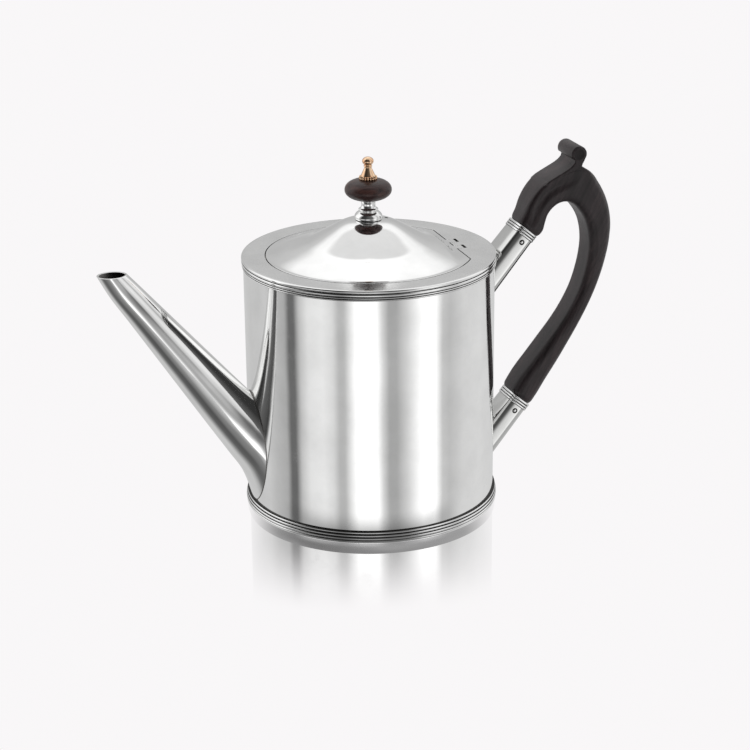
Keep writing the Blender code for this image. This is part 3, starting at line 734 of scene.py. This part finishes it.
def spout_lines(inset, around=128):
    """Lines along the spout's skin, from root to tip, set in from its outside."""
    rows = smooth_rows(SPOUT_SECTIONS, 40)
    low = np.stack([rows[:, 0], 0 * rows[:, 0], rows[:, 1]], axis=1)
    high = np.stack([rows[:, 2], 0 * rows[:, 0], rows[:, 3]], axis=1)
    centre = (low + high) / 2
    up = (high - low) / 2
    length = np.linalg.norm(up, axis=1, keepdims=True)
    up *= (length - inset) / length
    side = np.zeros_like(up)
    side[:, 1] = rows[:, 4] - inset
    lines = []
    for t in np.arange(around) * math.tau / around:
        lines.append(centre + up * math.cos(t) + side * math.sin(t))
    return lines


def make_spout():
    outer = trimmed(spout_lines(0.0), 110)
    inner = trimmed(spout_lines(0.95), 60)
    lip = (outer[-1] + inner[-1]) / 2
    lip[:, 2] += 0.12
    spout = shell("spout_silver", list(outer) + [lip] + list(inner[::-1]), sharp=50.0)
    dress(spout, "pot", SILVER, "silver", "spout")
    spout.data.materials.append(DARK_SILVER)
    around = outer.shape[1]
    first_inner = (len(outer) + 1) * around - around // 2
    for index, face in enumerate(spout.data.polygons):
        face.material_index = int(index >= first_inner)
    make_solder_line(np.roll(outer[3], -1, axis=0))


def make_solder_line(root):
    """The thin dark line of solder where the spout meets the drum."""
    push = root - root.mean(axis=0)
    push[:, 0] = 0.0
    push /= np.linalg.norm(push, axis=1, keepdims=True)
    rings = []
    for width, radius in ((-0.25, DRUM - 0.05), (-0.05, DRUM + 0.22), (0.3, DRUM + 0.12),
                          (0.42, DRUM - 0.05)):
        ring = root + push * width
        ring[:, 0] = -np.sqrt(radius ** 2 - ring[:, 1] ** 2)
        rings.append(ring)
    line = shell("spout_solder_line", rings, loop=False)
    dress(line, "pot", DARK_SILVER, "silver")


# ---------------------------------------------------------------- sockets

SOCKET_ANGLE = math.radians(50.0)
SOCKET_RUN = Vector((math.cos(SOCKET_ANGLE), 0.0, math.sin(SOCKET_ANGLE)))
SOCKET_UNDER = Vector((math.sin(SOCKET_ANGLE), 0.0, -math.cos(SOCKET_ANGLE)))
UPPER_MOUTH = (67.1, 110.2)
LOWER_MOUTH = (65.0, 34.3)
HALF_DEPTH = 5.1
HALF_WIDTH = 7.6
SOCKET_WALL = 0.9
COLLAR = 3.4


def along(mouth, distance, across=0.0):
    """A point in the XZ plane on a socket's axis, distance out from its mouth."""
    return (mouth[0] + distance * SOCKET_RUN.x + across * SOCKET_UNDER.x,
            mouth[1] + distance * SOCKET_RUN.z + across * SOCKET_UNDER.z)


def socket_ring(mouth, distance, grow, around=96):
    """A round-cornered section of a socket that is larger all round than its mouth."""
    roundness = 2 / 3.6
    points = []
    for t in np.arange(around) * math.tau / around:
        c, s = math.cos(t), math.sin(t)
        depth = (HALF_DEPTH + grow) * math.copysign(abs(c) ** roundness, c)
        x, z = along(mouth, distance, depth)
        points.append((x, (HALF_WIDTH + grow) * math.copysign(abs(s) ** roundness, s), z))
    return points


def make_socket(side, mouth):
    """A tube that widens a little towards the drum."""
    outer, inner = [], []
    for u in np.linspace(1, 0, 60):
        outer.append(socket_ring(mouth, -30.0 * u, 0.5 * u))
        inner.append(socket_ring(mouth, -30.0 * u, 0.5 * u - SOCKET_WALL))
    outer = trimmed(np.array(outer).transpose(1, 0, 2), 50)
    inner = trimmed(np.array(inner).transpose(1, 0, 2), 20)
    tube = shell(side + "_socket_silver", list(outer) + list(inner[::-1]), sharp=50.0)
    # The sockets wear the greyer silver, painted shade.
    dress(tube, "pot", SHADED_SOCKET_SILVER, "silver", side + "_socket")
    if side == "upper":
        # Painted dark reflection: its lower corners are painted a dull near-black.
        darken(tube, PAINTED_SHADE, lambda p, n: n.dot(SOCKET_UNDER) > 0.45 and 0.1 < abs(n.y) < 0.9)


def make_collar(side, mouth):
    """Three reeds round the socket's mouth."""
    reed = COLLAR / 3
    rings = []
    for i in range(3):
        for t in np.radians(np.linspace(-80, 80, 9)):
            place = reed * (i + 0.5 + 0.5 * math.sin(t))
            rings.append(socket_ring(mouth, place, 0.05 + 0.38 * math.cos(t)))
    rings.append(socket_ring(mouth, COLLAR, -SOCKET_WALL))
    rings.append(socket_ring(mouth, 0.0, -SOCKET_WALL))
    collar = shell(side + "_collar_silver", rings, sharp=50.0)
    dress(collar, "pot", SILVER, "silver", side + "_socket_collar")
    start = Vector((mouth[0], 0.0, mouth[1])).dot(SOCKET_RUN)
    grooves = [start + reed * i for i in range(3)]
    # Painted shade: the grooves between the collar's reeds are near-black.
    darken(collar, PAINTED_SHADE, lambda p, n: near_any(p.dot(SOCKET_RUN), grooves))


def make_pin(side, mouth):
    """A pin through the socket. Each end is a small dome in a ring painted near-black as shade.
    """
    x, z = along(mouth, -2.4)
    dome, ring = 0.6, 1.2
    end = [(0.0, 0.24), (0.3, 0.22), (0.5, 0.15), (dome, 0.07), (ring, 0.07), (ring + 0.05, -0.1)]
    profile = [(r, HALF_WIDTH + y) for r, y in end]
    profile += [(r, -y) for r, y in reversed(profile)]
    pin = lathe(side + "_pin_silver", profile, 40, loop=False)
    lay_along_y(pin, x, z)
    dress(pin, "pot", SILVER, "silver", side + "_handle_pin")
    # Painted shade: the ring round each dome is near-black.
    darken(pin, PAINTED_SHADE, lambda p, n: math.hypot(p.x - x, p.z - z) > dome)


# ----------------------------------------------------------------- handle

# The wood's outer and inner edges in the XZ plane, from the lower socket to the upper
OUTER_EDGE = (
    (75.2, 38.5), (78.6, 43.9), (83.8, 51.7), (88.9, 60.5), (94.0, 69.6),
    (98.6, 78.6), (102.4, 87.4), (105.4, 96.5), (107.3, 105.0), (107.8, 111.5),
    (107.1, 117.7), (105.3, 123.8), (102.3, 129.7), (98.6, 134.6), (94.5, 137.6),
    (90.0, 138.3), (84.8, 136.9), (79.8, 134.9), (75.2, 132.2), (71.6, 128.5),
    (69.0, 124.4), (67.1, 119.9),
)
LOOP_EDGE = (
    (67.2, 47.2), (73.0, 54.4), (79.0, 61.8), (84.8, 69.1), (89.6, 76.4),
    (93.3, 83.8), (95.7, 91.2), (97.1, 97.8), (97.6, 104.0), (97.0, 109.5),
    (95.5, 114.4), (92.8, 118.9), (89.7, 122.2), (86.4, 123.6), (83.1, 123.2),
    (80.2, 121.4), (78.0, 118.6), (76.9, 115.4), (75.9, 112.0),
)
# The scroll: its turn, and the curves that bring the wood up into it on either side
SCROLL_CENTRE = (91.0, 144.3)
SCROLL_RADIUS = 3.5
SCROLL_FRONT = [(88.5, 142.6), (89.2, 141.8), (88.9, 140.6), (87.7, 139.3), (86.0, 138.15),
                (84.0, 137.1), (82.0, 136.1), (79.8, 135.0), (77.4, 133.7), (75.2, 132.0)]
SCROLL_UNDER = [(77.0, 131.6), (80.0, 133.0), (84.0, 134.6), (88.0, 135.6), (92.0, 135.4)]
SCROLL_BACK = [(96.2, 133.8), (96.8, 135.6), (94.8, 137.5), (92.5, 139.0), (92.7, 140.0),
               (93.4, 141.2)]
HALF_THICK = 8.0
LOOP_ROUND = 3.4


def resample(line, count):
    """Evenly spaced points along a line."""
    line = np.asarray(line, float)
    at = np.r_[0, np.cumsum(np.linalg.norm(np.diff(line, axis=0), axis=1))]
    where = np.linspace(0, at[-1], count)
    return np.stack([np.interp(where, at, line[:, k]) for k in range(2)], axis=1)


def handle_stations(count):
    """Matching points on the outer edge and the loop, from the lower socket to the upper."""
    shoulder = COLLAR + 0.1
    half = 5.6
    outer = [along(LOWER_MOUTH, shoulder, half), *OUTER_EDGE, along(UPPER_MOUTH, shoulder, -half)]
    inner = [along(LOWER_MOUTH, shoulder, -half), *LOOP_EDGE, along(UPPER_MOUTH, shoulder, half)]
    outer = resample(smooth_rows(outer, 12), count)
    inner = resample(smooth_rows(inner, 12), count * 4)
    last = len(inner) - 1
    # The nearest inner point to each outer one, never running back, then evened out
    near = np.array([np.argmin(np.linalg.norm(inner - point, axis=1)) for point in outer], float)
    near[0] = 0
    near[-1] = last
    near = np.maximum.accumulate(near)
    wide = 13
    padded = np.r_[np.full(wide, near[0]), near, np.full(wide, near[-1])]
    even = np.convolve(padded, np.ones(2 * wide + 1) / (2 * wide + 1), "valid")
    # Close to the ends the match goes over to equal steps.
    station = np.arange(count)
    share = np.clip(np.minimum(station, station[::-1]) / (2 * wide), 0, 1)
    line = np.linspace(0, last, count)
    at_end = np.where(station < count / 2, np.minimum(line, even), np.maximum(line, even))
    even = even * share + (1 - share) * at_end
    index = np.arange(last + 1)
    matched = np.stack([np.interp(even, index, inner[:, k]) for k in range(2)], axis=1)
    return outer, matched


def handle_section(width, thick, outer_round, cove):
    """A round-cornered section as (place outwards, y), crowned and hollowed at its sides."""
    half = width / 2
    arcs = []
    for start, out, side, radius in ((0, 1, -1, outer_round), (-90, -1, -1, LOOP_ROUND),
                                     (-180, -1, 1, LOOP_ROUND), (-270, 1, 1, outer_round)):
        radius = min(radius, 0.98 * half, 0.98 * thick)
        centre = (out * (half - radius), side * (thick - radius))
        arcs.append(arc(centre, (radius, radius), start, start - 90, 8))
    points = []
    for corner, following in zip(arcs, arcs[1:] + arcs[:1]):
        points += corner + list(np.linspace(corner[-1], following[0], 10)[1:-1])
    shaped = []
    for d, y in points:
        place = np.clip((half - d) / width, 0, 1)
        hollow = cove * math.exp(-((place - 0.36) / 0.20) ** 2)
        crown = 0.25 * (1 - (2 * place - 1) ** 2)
        keep = min(1.0, abs(y) / (thick * 0.75))
        shaped.append((d, y - math.copysign((hollow - crown) * keep ** 4, y)))
    return shaped


def make_handle():
    """A loop, soft-edged below, with a crisp edge and a coved side towards the scroll."""
    count = 220
    rings = []
    for u, first, second in zip(np.linspace(0, 1, count), *handle_stations(count)):
        out = first - second
        width = np.linalg.norm(out)
        out /= width
        centre = (first + second) / 2
        crisp = np.clip((u - 0.69) / 0.06, 0, 1) * np.clip((1.0 - u) / 0.14, 0, 1)
        cove = np.clip((u - 0.74) / 0.08, 0, 1) * np.clip((1.02 - u) / 0.06, 0, 1)
        outer_round = 5.0 * (1 - crisp) + 1.2 * crisp
        from_end = min(u, 1 - u)
        ease = 0.93 + 0.07 * math.sin(min(from_end / 0.012, 1.0) * math.pi / 2)
        section = handle_section(width * ease, HALF_THICK * ease, outer_round, cove)
        rings.append([(centre[0] + out[0] * d, y, centre[1] + out[1] * d) for d, y in section])
    handle = shell("handle_wood", rings, loop=False, caps=True, sharp=60.0)
    dress(handle, "pot", HANDLE_WOOD, "dark_wood", "handle")


def make_scroll():
    """The end of the board, curled over into a scroll with a dark eye at each side."""
    outline = arc(SCROLL_CENTRE, (SCROLL_RADIUS, SCROLL_RADIUS), -35, 205, 40)
    outline += SCROLL_FRONT + SCROLL_UNDER + SCROLL_BACK
    half = HALF_THICK - 0.1
    scroll = polygon_solid("handle_scroll_wood", (outline,), -half, half, 0.55, sharp=50.0)
    scroll.data.transform(Matrix.Rotation(math.radians(90.0), 4, "X"))
    dress(scroll, "pot", HANDLE_WOOD, "dark_wood")

    x, z = SCROLL_CENTRE
    rim = HALF_THICK - 0.12
    profile = [(0.0, rim + 0.06), (2.1, rim + 0.06), (2.3, rim + 0.12), (2.6, rim + 0.12),
               (2.85, rim - 0.05)]
    profile += [(r, -h) for r, h in reversed(profile)]
    eye = lathe("handle_scroll_eye", profile, 48, loop=False, sharp=60.0)
    lay_along_y(eye, x, z)
    dress(eye, "pot", HANDLE_WOOD, "dark_wood")
    darken(eye, EYE_WOOD, lambda p, n: math.hypot(p.x - x, p.z - z) < 2.2)


# ------------------------------------------------------------------ stage

CAMERA_AZIMUTH = -18.0
CAMERA_HEIGHT = 19.99
CAMERA_ROLL = math.radians(-0.558)
CAMERA_DISTANCE = 0.90186
CAMERA_TARGET = Vector((0.001974, -0.000641, 0.05411))


def towards(turn, height):
    """The direction at a compass angle from the camera and a height, in degrees."""
    turn = math.radians(CAMERA_AZIMUTH + turn)
    height = math.radians(height)
    return Vector((math.sin(turn) * math.cos(height), -math.cos(turn) * math.cos(height),
                   math.sin(height)))


FORWARD = towards(0.0, 0.0)
RIGHT = towards(90.0, 0.0)


def make_camera():
    lens = bpy.data.cameras.new("camera")
    lens.sensor_width = 36.0
    lens.lens = 101.67
    camera = add_object("camera", lens)
    away = towards(0.0, CAMERA_HEIGHT)
    up = away.cross(RIGHT)
    turned_right = RIGHT * math.cos(CAMERA_ROLL) + up * math.sin(CAMERA_ROLL)
    turned_up = up * math.cos(CAMERA_ROLL) - RIGHT * math.sin(CAMERA_ROLL)
    matrix = Matrix((turned_right, turned_up, away)).transposed().to_4x4()
    matrix.translation = CAMERA_TARGET + away * CAMERA_DISTANCE
    camera.matrix_world = matrix
    bpy.context.scene.camera = camera


# Brightness of the studio by compass angle from the camera, in degrees: negative is to
# the camera's left, 180 is behind the pot. LOW is the table's surroundings that the drum
# mirrors, HIGH is above the horizon with the dark of the camera in the middle, and MIDDLE
# and STEEP are nearer under the pot.
LOW_STUDIO = (
    (-180, 0.62), (-140, 0.58), (-110, 0.62), (-97, 0.52), (-84, 0.44), (-79, 0.15),
    (-73, 0.15), (-67, 0.56), (-58, 0.80), (-44, 0.86), (-34, 0.74), (-28, 0.50),
    (-23, 0.50), (-16, 0.95), (-11, 1.25), (6, 1.25), (11, 0.75), (17, 0.42),
    (24, 0.42), (34, 0.68), (43, 1.00), (50, 1.25), (62, 1.20), (70, 0.60), (78, 0.54),
    (95, 0.68), (120, 0.72), (140, 0.68), (180, 0.62),
)
HIGH_STUDIO = (
    (-180, 0.50), (-140, 0.55), (-130, 1.00), (-86, 1.20), (-78, 0.60), (-68, 0.25),
    (-60, 0.035), (-25, 0.04), (-5, 0.08), (15, 0.11), (32, 0.13), (40, 0.18), (46, 0.60),
    (60, 0.85), (72, 0.80), (82, 0.45), (92, 0.75), (104, 0.85), (120, 1.00), (150, 0.60),
    (180, 0.50),
)
MIDDLE_STUDIO = (
    (-180, 0.62), (-140, 0.58), (-115, 0.58), (-97, 0.45), (-80, 0.18), (-60, 0.13),
    (-44, 0.14), (-28, 0.19), (-14, 0.24), (-4, 0.42), (8, 0.62), (20, 0.58), (60, 0.50),
    (120, 0.60), (180, 0.62),
)
STEEP_STUDIO = (
    (-180, 0.60), (-150, 0.62), (-112, 0.58), (-97, 0.42), (-82, 0.24), (-67, 0.12),
    (-50, 0.10), (-38, 0.09), (-22, 0.17), (10, 0.24), (60, 0.35), (120, 0.50), (180, 0.60),
)
# Brightness behind the pot by angle above the horizon
BACK_STUDIO = ((0, 0.49), (14, 0.51), (26, 0.60), (35, 1.00), (56, 1.15), (90, 1.15))
OVERHEAD = 0.78
PALE = (0.945, 0.930, 0.938, 1.0)


def make_world():
    """The studio that the silver mirrors. The camera itself sees plain pale white."""
    world = bpy.data.worlds.new("studio")
    bpy.context.scene.world = world
    world.use_nodes = True
    world.node_tree.nodes.clear()
    nodes = Nodes(world.node_tree)
    where = nodes.coordinates("Generated")
    turn = nodes.math("ARCTAN2", nodes.dot(where, RIGHT), nodes.dot(where, FORWARD))
    height = nodes.math("ARCSINE", nodes.dot(where, (0.0, 0.0, 1.0)))
    compass = nodes.math("MULTIPLY_ADD", turn, 1 / math.tau, 0.5)
    round_turn = nodes.math("ABSOLUTE", turn)
    overhead = (OVERHEAD, OVERHEAD, OVERHEAD, 1.0)

    def around(table):
        return nodes.ramp(compass, [((angle + 180) / 360, value) for angle, value in table])

    def rising(value, low, high):
        return nodes.between(value, math.radians(low), math.radians(high))

    lower = nodes.blend(rising(height, -28, -25), around(MIDDLE_STUDIO), around(LOW_STUDIO))
    lower = nodes.blend(rising(height, -50, -42), around(STEEP_STUDIO), lower)
    upper = nodes.blend(rising(height, 68, 80), around(HIGH_STUDIO), overhead)
    back = nodes.ramp(nodes.math("MULTIPLY", height, 2 / math.pi),
                      [(angle / 90, value) for angle, value in BACK_STUDIO])
    # The ceiling behind the pot comes lower towards both sides.
    sideways = nodes.math("SUBTRACT", math.pi, round_turn)
    ceiling = nodes.math("MULTIPLY_ADD", sideways, 0.5, height)
    back = nodes.blend(rising(ceiling, 59, 70), back, overhead)
    upper = nodes.blend(rising(round_turn, 122, 142), upper, back)
    colour = nodes.blend(rising(height, -16, 4), lower, upper)

    path = nodes.add("ShaderNodeLightPath")
    background = nodes.add("ShaderNodeBackground")
    output = nodes.add("ShaderNodeOutputWorld")
    nodes.link(nodes.blend(path.outputs["Is Camera Ray"], colour, PALE),
               background.inputs["Color"])
    nodes.link(background.outputs[0], output.inputs["Surface"])


def disc(name, inner, outer, height, rings=24, around=96):
    points = [[(r * math.cos(a), r * math.sin(a), height)
               for a in np.arange(around) * math.tau / around]
              for r in np.linspace(inner, outer, rings)]
    return shell(name, points, loop=False)


def stage_surface(piece, name, colour, share_of, fades):
    """A plain material that blends "glow" with "clear", for a piece of the stage.

    The share of one of the two is the product of its fades, each with what it runs along,
    from and to in millimetres, and the share at each. It runs along the distance from the
    axis, forward to the camera, or sideways from the camera's line.
    """
    look = Look(name)
    look.tree.nodes.remove(look.shader)
    where = look.coordinates("Object")
    length = look.add("ShaderNodeVectorMath", operation="LENGTH")
    look.link(where, length.inputs[0])
    ways = {"distance": length.outputs["Value"], "forward": look.dot(where, FORWARD),
            "sideways": look.math("ABSOLUTE", look.dot(where, RIGHT))}
    share = 1.0
    for way, low, high, first, last in fades:
        fade = look.between(ways[way], low * MM, high * MM, first, last)
        share = look.math("MULTIPLY", share, fade)
    glow = look.add("ShaderNodeEmission")
    glow.inputs["Color"].default_value = colour
    clear = look.add("ShaderNodeBsdfTransparent")
    mix = look.add("ShaderNodeMixShader")
    rest, shared = (glow, clear) if share_of == "clear" else (clear, glow)
    look.link(share, mix.inputs[0])
    look.link(rest.outputs[0], mix.inputs[1])
    look.link(shared.outputs[0], mix.inputs[2])
    look.link(mix.outputs[0], look.tree.nodes["Material Output"].inputs["Surface"])
    piece.data.materials.append(look.material)


def make_floor():
    """A pale polished floor. Its shine is the drum and foot mirrored below it, seen
    through the floor and fading out away from the foot."""
    floor = disc("floor", 0.5, 4000.0, -0.02, 60)
    stage_surface(floor, "pale_floor", PALE, "clear",
                  (("distance", 54.0, 120.0, 0.88, 0.0), ("sideways", 37.0, 57.0, 1.0, 0.0)))
    floor.visible_glossy = False
    floor.visible_shadow = False
    drum = lathe("drum_mirrored", ((DRUM, 0.0), (DRUM, 60.0)), loop=False)
    foot = lathe("foot_mirrored", ((FOOT - 0.3, 0.0), (FOOT - 0.2, 1.2), (FOOT - 0.5, 3.6),
                                   (FOOT - 0.9, FOOT_TOP)), loop=False)
    drum.data.materials.append(SILVER)
    foot.data.materials.append(DIMMED_REFLECTION_SILVER)
    for twin in (drum, foot):
        twin.scale.z = -1.0
        twin.location.z = -0.04 * MM
        twin.visible_glossy = False
        twin.visible_diffuse = False
        twin.visible_shadow = False
    # Painted shadow: a dark disc close in front of the foot, standing for the floor's shadow
    # there, which only the silver sees
    shade = disc("floor_shade", 52.0, 110.0, -0.01)
    stage_surface(shade, "painted_floor_shadow", (0.03, 0.03, 0.03, 1.0), "glow",
                  (("distance", 54.0, 84.0, 0.70, 0.0), ("forward", 36.0, 58.0, 0.0, 1.0)))
    shade.visible_camera = False
    shade.visible_diffuse = False
    shade.visible_shadow = False


def make_lights():
    """Large soft lights for the wood, which the silver doesn't mirror."""
    for name, turn, height, size, power in (
            ("light_right", 58.0, 22.0, 0.7, 2.0),
            ("light_back_left", -118.0, 38.0, 0.9, 7.0),
            ("light_top", 150.0, 70.0, 0.9, 4.0)):
        away = towards(turn, height)
        lamp = bpy.data.lights.new(name, "AREA")
        lamp.shape = "DISK"
        lamp.size = size
        lamp.energy = power
        item = add_object(name, lamp)
        item.location = away * 1.4
        item.rotation_euler = away.to_track_quat("Z", "Y").to_euler()
        item.visible_glossy = False


make_wall()
make_base()
make_foot()
make_rim()
make_deck()
make_ledge("lid_seat", "pot", 46.5, LID - 1.2, 38.0)
make_hinge()
make_lid()
make_ledge("lid_bezel", "lid", 41.4, 40.6, 37.5)
make_stem()
make_button()
make_cap()
dress_fixings()
make_spout()
for socket_side, socket_mouth in (("upper", UPPER_MOUTH), ("lower", LOWER_MOUTH)):
    make_socket(socket_side, socket_mouth)
    make_collar(socket_side, socket_mouth)
    make_pin(socket_side, socket_mouth)
make_handle()
make_scroll()
make_camera()
make_world()
make_floor()
make_lights()

bpy.context.scene.view_settings.view_transform = "Standard"
bpy.context.scene.view_settings.look = "None"

bpy.context.view_layer.update()
